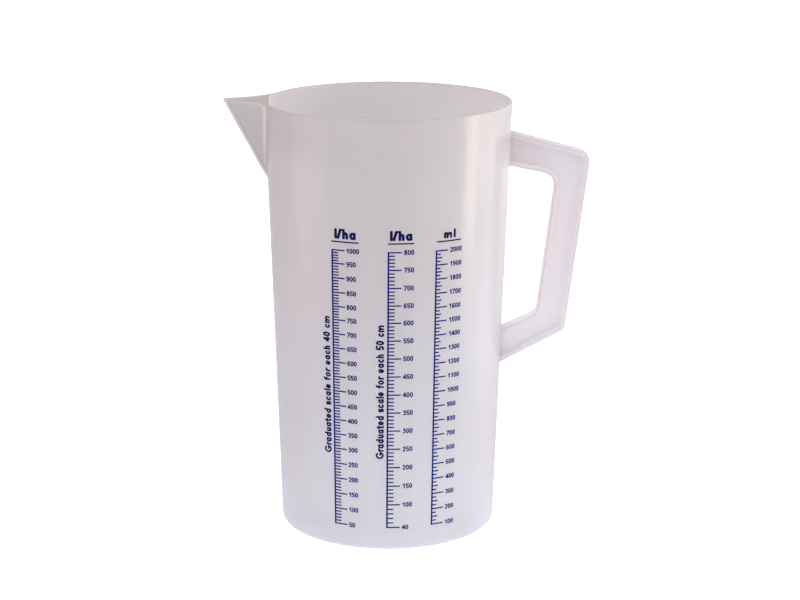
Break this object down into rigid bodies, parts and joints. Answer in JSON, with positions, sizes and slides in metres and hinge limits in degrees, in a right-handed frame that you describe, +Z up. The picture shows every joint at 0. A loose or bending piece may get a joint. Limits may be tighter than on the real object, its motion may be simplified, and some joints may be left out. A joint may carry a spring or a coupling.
{
  "type": "graduated pouring jug",
  "caption": "Tapered measuring jug in milky plastic with an open pointed spout, a D-shaped ribbed side handle and printed volume and spray-rate scales.",
  "frame": {"origin": "centre of the foot ring, on the axis of the vessel, at table height", "axes": "+Z up along the axis of the vessel, +X towards the handle, -X towards the spout, -Y towards the side that carries the printed scales"},
  "size_m": [0.204, 0.138, 0.2434],
  "materials": {
    "milky_plastic": "semi-gloss, milky translucent polypropylene",
    "navy_ink": "thin screen-printed ink"
  },
  "bodies": {
    "root": {"vessel": "milky_plastic", "pouring_spout": "milky_plastic", "handle": "milky_plastic", "ml_scale": "navy_ink", "ml_numerals": "navy_ink", "ml_heading": "navy_ink", "lha40_scale": "navy_ink", "lha40_numerals": "navy_ink", "lha40_heading": "navy_ink", "lha40_caption": "navy_ink", "lha50_scale": "navy_ink", "lha50_numerals": "navy_ink", "lha50_heading": "navy_ink", "lha50_caption": "navy_ink"}
  },
  "joints": []
}
